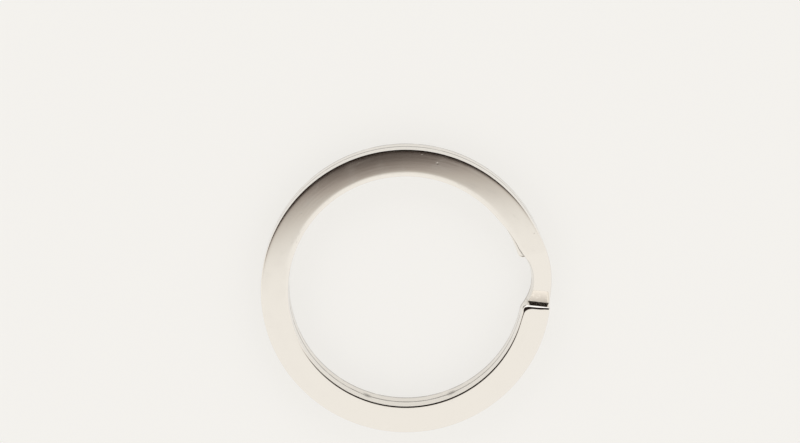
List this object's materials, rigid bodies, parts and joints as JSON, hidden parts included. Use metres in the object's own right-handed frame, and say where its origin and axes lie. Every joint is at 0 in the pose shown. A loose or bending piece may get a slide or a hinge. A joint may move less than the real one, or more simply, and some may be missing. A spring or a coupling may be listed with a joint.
{
  "type": "split ring",
  "caption": "Flat key ring coiled edgewise from one bright steel strip, with a scalloped crossover where the strip steps between its turns and squared, rounded free ends.",
  "frame": {"origin": "on the ring's axis, at the lower face that the ring lies on", "axes": "+Z along the ring's axis, up through the bore; +X through the middle of the crossover; the upper turn's free end is on the -Y side of +X"},
  "size_m": [0.0322, 0.032, 0.0038],
  "materials": {
    "bright_nickel": "bright nickel plating on polished spring steel: mirror gloss with a faint warm tint, fine tumbling scratches and a few shallow pits"
  },
  "bodies": {
    "root": {"split_ring": "bright_nickel"}
  },
  "joints": []
}
